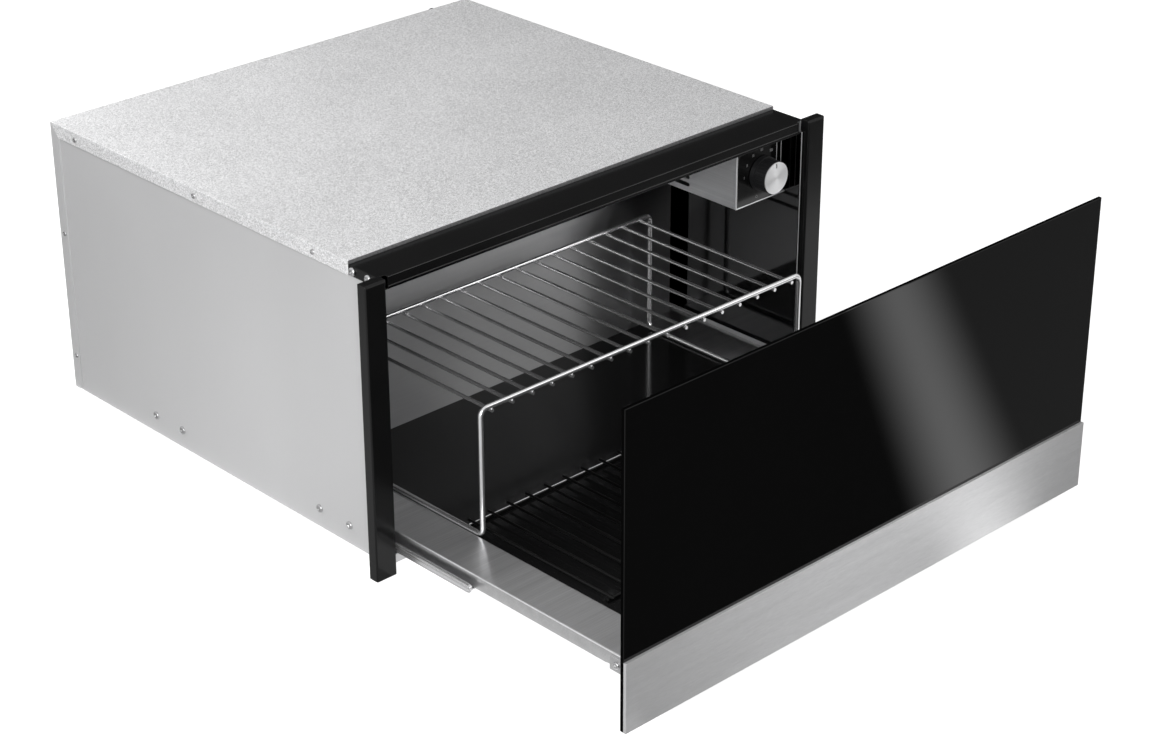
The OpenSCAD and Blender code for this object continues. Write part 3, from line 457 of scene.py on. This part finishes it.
class Shape:
    """Faces gathered into one piece."""

    def __init__(self):
        self.verts = []
        self.faces = []

    def add(self, verts, faces):
        first = len(self.verts)
        self.verts += [tuple(v) for v in verts]
        self.faces += [tuple(first + i for i in face) for face in faces]

    def loops(self, loops, closed_start=False, closed_end=False):
        """A skin over closed loops that have the same number of points."""
        n = len(loops[0])
        faces = []
        for k in range(len(loops) - 1):
            for i in range(n):
                j = (i + 1) % n
                faces.append((k * n + i, k * n + j, (k + 1) * n + j, (k + 1) * n + i))
        if closed_start:
            faces.append(tuple(reversed(range(n))))
        if closed_end:
            faces.append(tuple((len(loops) - 1) * n + i for i in range(n)))
        self.add([v for loop in loops for v in loop], faces)

    def piece(self, name, material, body, smooth=True):
        mesh = bpy.data.meshes.new(name)
        mesh.from_pydata(self.verts, [], self.faces)
        mesh.materials.append(material)
        for polygon in mesh.polygons:
            polygon.use_smooth = smooth
        made = bpy.data.objects.new(name, mesh)
        bpy.context.scene.collection.objects.link(made)
        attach(made, body)
        return made


def circle(centre, u, v, radius, sides):
    turns = (2 * math.pi * i / sides for i in range(sides))
    return [centre + u * (radius * math.cos(a)) + v * (radius * math.sin(a)) for a in turns]


END_DOME = (0.0, 0.25, 0.7, 0.97)    # how far out a rod's end rings stand, in radii


def rod(shape, start, end, radius, sides=16):
    """A round bar with domed ends."""
    axis = (end - start).normalized()
    u = axis.orthogonal().normalized()
    v = axis.cross(u)
    loops = []
    for place, way in ((start, -1), (end, 1)):
        for out in END_DOME[::way]:
            wide = radius * math.sqrt(1 - out * out)
            loops.append(circle(place + axis * (way * out * radius), u, v, wide, sides))
    shape.loops(loops, True, True)


def bead(shape, centre, size, sides=12, rings=7):
    """A round blob of weld with that half size along each axis."""
    loops = []
    for k in range(1, rings):
        a = math.pi * k / rings
        loops.append([centre + Vector((size[0] * math.sin(a) * math.cos(b),
                                       size[1] * math.sin(a) * math.sin(b),
                                       -size[2] * math.cos(a)))
                      for b in (2 * math.pi * i / sides for i in range(sides))])
    shape.loops(loops, True, True)


def solids(node):
    """(lowest corner, highest corner) of each separate solid of a CAD node at rest."""
    source = frame["nodes"][node]
    mesh = bmesh.new()
    mesh.from_mesh(source.data)
    bmesh.ops.remove_doubles(mesh, verts=mesh.verts, dist=0.001 * MM)
    left = set(mesh.verts)
    found = []
    while left:
        reach = [left.pop()]
        solid = []
        while reach:
            vert = reach.pop()
            solid.append(source.matrix_world @ vert.co)
            for edge in vert.link_edges:
                other = edge.other_vert(vert)
                if other in left:
                    left.remove(other)
                    reach.append(other)
        found.append((Vector(map(min, zip(*solid))), Vector(map(max, zip(*solid)))))
    mesh.free()
    return sorted(found, key=lambda box: tuple(box[0]))


# ---- Screws -------------------------------------------------------------------------------

RIM_SHARE = 0.3                  # of a head's height, the upright rim under the dome
FLAT_SHARE = 0.62                # of a head's radius, the flat round the recess
ARM_SHARE = 0.46                 # of a head's radius, half the cross recess
ARM_WIDTH = 0.12
RECESS_SHARE = 0.75              # of a head's height
RECESS_TAPER = 0.6               # the recess' foot, as a share of its mouth
NEXT_TURN = 0.9                  # radians from one screw's recess to the next one's
DOME_STEPS = 6
HEAD_SIDES = 32
# in millimetres, how far each screw group's heads stand out
HEAD_HEIGHT = {"cover_screws": 1.2, "rail_screws": 2.4, "rear_screws": 1.2,
               "slide_screws": 1.6, "bracket_screws": 1.6}


def cross(length, width):
    """Corners of a cross, anticlockwise."""
    arm = [(width, width), (width, length), (-width, length)]
    corners = []
    for _ in range(4):
        corners += arm
        arm = [(-y, x) for x, y in arm]
    return corners


def screw_head(shape, seat, outward, radius, height, turn):
    """A pan head with a cross recess; seat is the middle of its underside."""
    side = Vector((0, outward, 0))
    up = Vector((0, 0, 1))
    out = Vector((outward, 0, 0))
    loops = [circle(seat, side, up, radius, HEAD_SIDES)]
    for k in range(DOME_STEPS + 1):
        a = math.pi / 2 * k / DOME_STEPS
        wide = radius * (FLAT_SHARE + (1 - FLAT_SHARE) * math.cos(a))
        high = height * (RIM_SHARE + (1 - RIM_SHARE) * math.sin(a))
        loops.append(circle(seat + out * high, side, up, wide, HEAD_SIDES))
    shape.loops(loops, True)
    c, s = math.cos(turn), math.sin(turn)

    def corners(scale, high):
        return [seat + out * high + side * (radius * scale * (x * c - y * s))
                + up * (radius * scale * (x * s + y * c)) for x, y in cross(ARM_SHARE, ARM_WIDTH)]

    mouth = corners(1.0, height)
    foot = corners(RECESS_TAPER, height * (1 - RECESS_SHARE))
    flat = loops[-1] + mouth
    shape.add(flat, tessellate_polygon([loops[-1], mouth]))
    shape.loops([mouth, foot], False, True)


def dress_screws(node, body, material):
    shape = Shape()
    for number, (low, high) in enumerate(solids(node)):
        outward = 1 if high.x > 0 else -1
        middle = (low + high) / 2
        radius = (high.z - low.z) / 2
        tip = high.x if outward > 0 else low.x
        height = HEAD_HEIGHT[node] * MM
        seat = Vector((tip - outward * height, middle.y, middle.z))
        screw_head(shape, seat, outward, radius, height, NEXT_TURN * number)
    made = shape.piece(node + "_heads", material, body)
    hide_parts(node)


# ---- Edges, welds and marks ---------------------------------------------------------------

ROLL_R = 1.0 * MM                # rolled edges of the control box
ROLL_IN = 0.5 * ROLL_R           # from the box's faces to their middle
SEAM_R = 0.35 * MM               # bright edges beside its fascia
SEAM_IN = 1.9 * MM               # from the box's right side to the outer one
HEM_R = 0.8 * MM                 # the liner walls' folded front edges
WELD_SIZE = (0.9 * MM, 1.3 * MM, 0.8 * MM)


def folded_edges(material):
    """The front edges of the liner's walls and of the control box."""
    shape = Shape()
    low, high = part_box("control_box")
    corner = Vector((low.x + ROLL_IN, low.y, low.z + ROLL_IN))
    rod(shape, corner, Vector((corner.x, corner.y, high.z)), ROLL_R)
    liner_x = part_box("liner_right")[0].x
    rod(shape, corner, Vector((liner_x - ROLL_R, corner.y, corner.z)), ROLL_R)
    fascia_low, fascia_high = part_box("control_fascia")
    for x, y in ((fascia_high.x, fascia_low.y), (high.x - SEAM_IN, low.y)):
        rod(shape, Vector((x, y, fascia_low.z)), Vector((x, y, fascia_high.z)), SEAM_R, FEW_SIDES)
    shape.piece("box_edges", material, "cabinet")
    shape = Shape()
    for node in ("liner_left", "liner_right"):
        low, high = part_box(node)
        x = (low.x + high.x) / 2
        rod(shape, Vector((x, low.y + HEM_R, low.z)), Vector((x, low.y + HEM_R, high.z)), HEM_R)
    shape.piece("liner_edges", material, "cabinet")


FOLD_R = 0.5 * MM                # radius of the rods of painted sheen along folds and edges
FOLD_IN = 0.6 * FOLD_R           # from the rail's front to the folds' middle
FOLD_SHORT = 5.0 * MM            # how far the folds stop short of the ceiling's ends
GRID_OUT = 5.0 * MM              # how far the base rack's wires reach past its bars
BAR_THICK = 3.6 * MM             # height of those bars
FEW_SIDES = 8                    # round a thin edge


def rail_folds(material):
    """Along the front of the rail: rods of painted sheen on its fold and on the lower edge of its lip."""
    low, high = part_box("top_rail")
    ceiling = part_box("liner_ceiling")[1]
    end = ceiling.x - FOLD_SHORT
    y = low.y + FOLD_IN
    shape = Shape()
    for z in (high.z - FOLD_R, ceiling.z + FOLD_R):
        rod(shape, Vector((-end, y, z)), Vector((end, y, z)), FOLD_R, FEW_SIDES)
    shape.piece("rail_folds", material, "cabinet")


def bright_edges(material):
    """Painted highlights: light rods along the top of the strip's face and the top of the base rack's rear
    bar.
    """
    strip_low, strip_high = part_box("trim_strip")
    rack_low, rack_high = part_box("base_rack")
    shape = Shape()
    for low, high, y, z in (
            (strip_low, strip_high, strip_low.y + FOLD_R, strip_high.z - FOLD_R),
            (rack_low, rack_high, rack_high.y - GRID_OUT, rack_low.z + BAR_THICK)):
        rod(shape, Vector((low.x + FOLD_R, y, z)), Vector((high.x - FOLD_R, y, z)), FOLD_R,
            FEW_SIDES)
    shape.piece("bright_edges", material, "drawer")


RACE_LIP = 1.2 * MM              # radius of the rounded lip along a slide's foot
RACE_FROM = 2.0 * MM             # the ball race is hollowed between these heights
RACE_TO = 7.3 * MM
RACE_DEPTH = 1.0 * MM
RACE_STEPS = 8
RACE_SHEET = 1.2 * MM
RACE_CAP = 3.0 * MM              # width of the flange along its top
RACE_SHARP = math.radians(40)    # folds that turn more than this shade as sharp edges
# how high a member is at its tip, as (distance from the end, share of its height)
TIP_ROUND = ((0.0, 0.35), (0.5 * MM, 0.62), (1.4 * MM, 0.84), (2.8 * MM, 0.96), (4.5 * MM, 1.0))


def race_outline(high):
    """Section of a rolled slide member, (depth behind its outer face, height)."""
    outline = []
    for k in range(RACE_STEPS + 1):
        a = math.pi / 2 * k / RACE_STEPS
        outline.append((RACE_LIP * (1 - math.sin(a)), RACE_LIP * (1 - math.cos(a))))
    for k in range(RACE_STEPS + 1):
        share = k / RACE_STEPS
        outline.append((RACE_DEPTH * math.sin(math.pi * share),
                        RACE_FROM + (RACE_TO - RACE_FROM) * share))
    back = RACE_DEPTH + RACE_SHEET
    outline += [(0.0, high), (RACE_CAP, high), (RACE_CAP, high - RACE_SHEET),
                (back, high - RACE_SHEET), (back, 0.0)]
    return outline


def slide_races(material):
    """The slides' middle members: a hollow race with rounded tips, and the flange that carries
    the drawer."""
    for node, outward in (("slide_middle_left", -1), ("slide_middle_right", 1)):
        low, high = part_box(node)
        outer = high.x if outward > 0 else low.x
        middle = (low.z + high.z) / 2
        outline = race_outline(high.z - low.z)
        wide = high.x - low.x
        flange = ((RACE_LIP, 0.0), (RACE_LIP, RACE_SHEET), (wide, RACE_SHEET), (wide, 0.0))
        stations = [(low.y + out, share) for out, share in TIP_ROUND]
        stations += [(high.y - out, share) for out, share in reversed(TIP_ROUND)]
        shape = Shape()
        shape.loops([[Vector((outer - outward * depth, y, middle + (low.z + up - middle) * share))
                      for depth, up in outline] for y, share in stations], True, True)
        tip = TIP_ROUND[-1][0]
        shape.loops([[Vector((outer - outward * depth, y, low.z + up)) for depth, up in flange]
                     for y in (low.y + tip, high.y - tip)], True, True)
        made = shape.piece(node + "_race", material, node)
        made.data.set_sharp_from_angle(angle=RACE_SHARP)
        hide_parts(node)


def rack_welds(material):
    shape = Shape()
    frame_low, frame_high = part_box("table_rack")
    for low, high in solids("rack_cross_wires"):
        wire_r = (high.x - low.x) / 2
        x = (low.x + high.x) / 2
        for y in (frame_low.y + wire_r, frame_high.y - wire_r):
            bead(shape, Vector((x, y, high.z)), WELD_SIZE)
    shape.piece("rack_welds", material, "drawer")


MARK_RING = 24.0 * MM            # from the knob's axis to the marks' middles
MARK_ANGLES = (-166, -88, -58, -30, 0, 34)   # degrees clockwise from the top
BAR_LENGTH = 3.0 * MM
BAR_WIDTH = 0.45 * MM
BAR_PITCH = 0.95 * MM
PRINT = 0.04 * MM                # how thick the print lies on the fascia
RING_SIDES = 32


def dial_marks():
    """Heat settings round the knob: a ring for off, then one bar more at each."""
    print_grey = Finish("print_grey", specular_ior_level=0.2)
    print_grey.tint(print_grey.shades(print_grey.noise(900.0), grey(0.24), grey(0.34)))
    print_grey.rough(print_grey.spread(print_grey.noise(300.0), 0.5, 0.7))
    low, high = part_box("knob")
    centre = (low + high) / 2
    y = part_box("control_fascia")[0].y - PRINT
    shape = Shape()
    for number, degrees in enumerate(MARK_ANGLES):
        a = math.radians(degrees)
        place = Vector((centre.x + MARK_RING * math.sin(a), y, centre.z + MARK_RING * math.cos(a)))
        if number == 0:
            u, v = Vector((1, 0, 0)), Vector((0, 0, 1))
            outer = circle(place, u, v, BAR_LENGTH / 2, RING_SIDES)
            inner = circle(place, u, v, BAR_LENGTH / 2 - BAR_WIDTH, RING_SIDES)
            shape.loops([inner, outer])
            continue
        low_z, high_z = place.z - BAR_LENGTH / 2, place.z + BAR_LENGTH / 2
        for i in range(number):
            left = place.x + (i - (number - 1) / 2) * BAR_PITCH - BAR_WIDTH / 2
            right = left + BAR_WIDTH
            shape.add([(left, y, low_z), (right, y, low_z), (right, y, high_z), (left, y, high_z)],
                      [(0, 1, 2, 3)])
    shape.piece("dial_marks", print_grey.material, "cabinet", False)


def add_details():
    plated = chrome("plated_screws", 0.5, 0.22)
    for node in HEAD_HEIGHT:
        dress_screws(node, "drawer" if node == "bracket_screws" else "cabinet", plated)
    folded_edges(edge_steel("edge_steel"))
    # rods of painted sheen on the rail's fold and lip, lighter than its black paint
    rail_folds(black_paint("fold_painted_sheen", 0.05, 0.3))
    # light rods of painted highlight on the strip's top edge and the base rack's rear bar
    bright_edges(edge_steel("painted_highlight_edge", 0.2))
    slide_races(rolled_zinc())
    rack_welds(wire_chrome("weld_chrome", 0.5))
    dial_marks()


# ---- Studio -------------------------------------------------------------------------------

def plane(name, centre, size_x, size_y, material):
    mesh = bpy.data.meshes.new(name)
    x, y = size_x / 2, size_y / 2
    mesh.from_pydata([(-x, -y, 0), (x, -y, 0), (x, y, 0), (-x, y, 0)], [], [(0, 1, 2, 3)])
    mesh.materials.append(material)
    made = bpy.data.objects.new(name, mesh)
    made.location = centre
    bpy.context.scene.collection.objects.link(made)
    return made


def seen_directly(tree):
    """1 on rays from the camera and on rays that a mirror or glass sends on, 0 on others."""
    path = tree.nodes.new("ShaderNodeLightPath")
    total = None
    for name in ("Is Camera Ray", "Is Glossy Ray", "Is Transmission Ray"):
        if total is None:
            total = path.outputs[name]
            continue
        add = tree.nodes.new("ShaderNodeMath")
        add.operation = "MAXIMUM"
        tree.links.new(total, add.inputs[0])
        tree.links.new(path.outputs[name], add.inputs[1])
        total = add.outputs[0]
    return total


FILL_LEVEL = 0.20                # the world's light on matt surfaces
FLOOR_GREY = 0.5
FLOOR_LIFT = 0.85                # the floor's own glow, so that it is seen as white
FLOOR_SIZE = 30


def add_world():
    world = bpy.data.worlds.new("studio")
    bpy.context.scene.world = world
    world.use_nodes = True
    tree = world.node_tree
    background = tree.nodes["Background"]
    background.inputs["Color"].default_value = (1, 1, 1, 1)
    strength = tree.nodes.new("ShaderNodeMapRange")
    strength.inputs["To Min"].default_value = FILL_LEVEL
    strength.inputs["To Max"].default_value = 1.0
    tree.links.new(seen_directly(tree), strength.inputs["Value"])
    tree.links.new(strength.outputs["Result"], background.inputs["Strength"])


def add_floor():
    material = bpy.data.materials.new("floor")
    material.use_nodes = True
    tree = material.node_tree
    shader = tree.nodes["Principled BSDF"]
    shader.inputs["Base Color"].default_value = (FLOOR_GREY, FLOOR_GREY, FLOOR_GREY, 1)
    shader.inputs["Roughness"].default_value = 0.9
    shader.inputs["Specular IOR Level"].default_value = 0.0
    shader.inputs["Emission Color"].default_value = (1, 1, 1, 1)
    lift = tree.nodes.new("ShaderNodeMath")
    lift.operation = "MULTIPLY"
    lift.inputs[1].default_value = FLOOR_LIFT
    tree.links.new(seen_directly(tree), lift.inputs[0])
    tree.links.new(lift.outputs[0], shader.inputs["Emission Strength"])
    plane("floor", (0, 0, 0), FLOOR_SIZE, FLOOR_SIZE, material)


def add_lamp(name, place, aim, width, power, mirrored=True):
    """A square lamp; mirrored says whether mirrors see it."""
    data = bpy.data.lights.new(name, "AREA")
    data.size = width
    data.energy = power
    lamp = bpy.data.objects.new(name, data)
    lamp.location = place
    lamp.rotation_euler = (Vector(aim) - Vector(place)).to_track_quat("-Z", "Y").to_euler()
    lamp.visible_glossy = mirrored
    bpy.context.scene.collection.objects.link(lamp)


CABINET_MIDDLE = (0.0, 0.0, 0.15)
DRAWER_MIDDLE = (0.1, -0.3, 0.15)


def add_lamps():
    # mirrored, it would burn out the cover from the front right
    add_lamp("overhead", (-0.6, 0.9, 1.4), CABINET_MIDDLE, 1.0, 25, mirrored=False)
    add_lamp("key", (-1.5, -1.2, 0.85), CABINET_MIDDLE, 1.1, 27)
    add_lamp("front", (1.1, -1.6, 1.0), DRAWER_MIDDLE, 0.9, 4.5)


CARD_SIZE = 1.6
CARD_GAP = 4 * MM                # from the glass' front at rest to the floor card
CARD_RISE = 1 * MM               # the cards on the floor stand this high
CARD_X = 0.45
CARD_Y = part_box("glass_front")[0].y - CARD_GAP - CARD_SIZE / 2
# the door mirrors the floor's line x + slope * y = STRIPE_LINE as its bright band, and
# STRIPE_MIDDLE is that line in the card's own axes
STRIPE_SLOPE = 0.863
STRIPE_LINE = -0.190
STRIPE_MIDDLE = STRIPE_LINE - CARD_X - STRIPE_SLOPE * CARD_Y
STRIPE_WIDTH = 0.095
STRIPE_LEVEL = 1.35
CARD_LEFT = 0.035
CARD_RIGHT = 0.18
REAR_CARD_PLACE = Vector((0.95, 0.9, 0.85))
REAR_CARD_AIM = Vector((0, 0, 0.2))
REAR_CARD_SIZE = (1.7, 1.2)
REAR_CARD_LEVEL = 0.04
SIDE_CARD_PLACE = Vector((-1.1, 0.4, CARD_RISE))
SIDE_CARD_SIZE = (1.66, 2.6)
SIDE_CARD_FADE = (0.1, 0.8)      # the card turns grey between these depths
SIDE_CARD_REAR = 0.15
SIDE_CARD_RISE = (-0.62, -0.28)  # and between these distances from the middle
SIDE_CARD_NEAR = 0.6


def mirror_only(card):
    """A studio card that only mirrors see."""
    card.visible_camera = False
    card.visible_diffuse = False
    card.visible_transmission = False
    card.visible_shadow = False


def glow_material(name, level):
    """level(finish) gives the socket or number of how bright the card is."""
    card = Finish(name)
    card.tree.nodes.remove(card.shader)
    glow = card.node("ShaderNodeEmission", {"Strength": level(card)})
    output = next(n for n in card.tree.nodes if n.type == "OUTPUT_MATERIAL")
    card.tree.links.new(glow.outputs[0], output.inputs["Surface"])
    return card.material


def floor_card_level(card):
    """Dark, with one soft bright stripe, and less dark on its right."""
    x, y, _ = card.node("ShaderNodeSeparateXYZ", {"Vector": card.position}).outputs
    across = card.maths("ADD", x, card.maths("MULTIPLY", y, STRIPE_SLOPE))
    rise = card.soft_step(across, STRIPE_MIDDLE - STRIPE_WIDTH, STRIPE_MIDDLE)
    fall = card.soft_step(across, STRIPE_MIDDLE + STRIPE_WIDTH, STRIPE_MIDDLE)
    stripe = card.maths("MULTIPLY", card.maths("MULTIPLY", rise, fall), STRIPE_LEVEL)
    side = card.maths("MULTIPLY", rise, CARD_RIGHT - CARD_LEFT)
    return card.maths("ADD", card.maths("ADD", stripe, side), CARD_LEFT)


def side_card_level(card):
    """White in front and greyer to the rear and near the cabinet."""
    x, y, _ = card.node("ShaderNodeSeparateXYZ", {"Vector": card.position}).outputs
    along = card.spread(y, 1.0, SIDE_CARD_REAR, SIDE_CARD_FADE[0] - SIDE_CARD_PLACE.y,
                        SIDE_CARD_FADE[1] - SIDE_CARD_PLACE.y)
    out = card.spread(x, 1.0, SIDE_CARD_NEAR, SIDE_CARD_RISE[0] - SIDE_CARD_PLACE.x,
                      SIDE_CARD_RISE[1] - SIDE_CARD_PLACE.x)
    return card.maths("MULTIPLY", along, out)


def add_cards():
    mirror_only(plane("floor_card", (CARD_X, CARD_Y, CARD_RISE), CARD_SIZE, CARD_SIZE,
                      glow_material("floor_card", floor_card_level)))
    back = plane("rear_card", REAR_CARD_PLACE, *REAR_CARD_SIZE,
                 glow_material("rear_card", lambda card: REAR_CARD_LEVEL))
    back.rotation_euler = (REAR_CARD_AIM - REAR_CARD_PLACE).to_track_quat("Z", "Y").to_euler()
    mirror_only(back)
    mirror_only(plane("side_card", SIDE_CARD_PLACE, *SIDE_CARD_SIZE,
                      glow_material("side_card", side_card_level)))


add_camera()
dress_frame()
add_details()
add_world()
add_floor()
add_lamps()
add_cards()
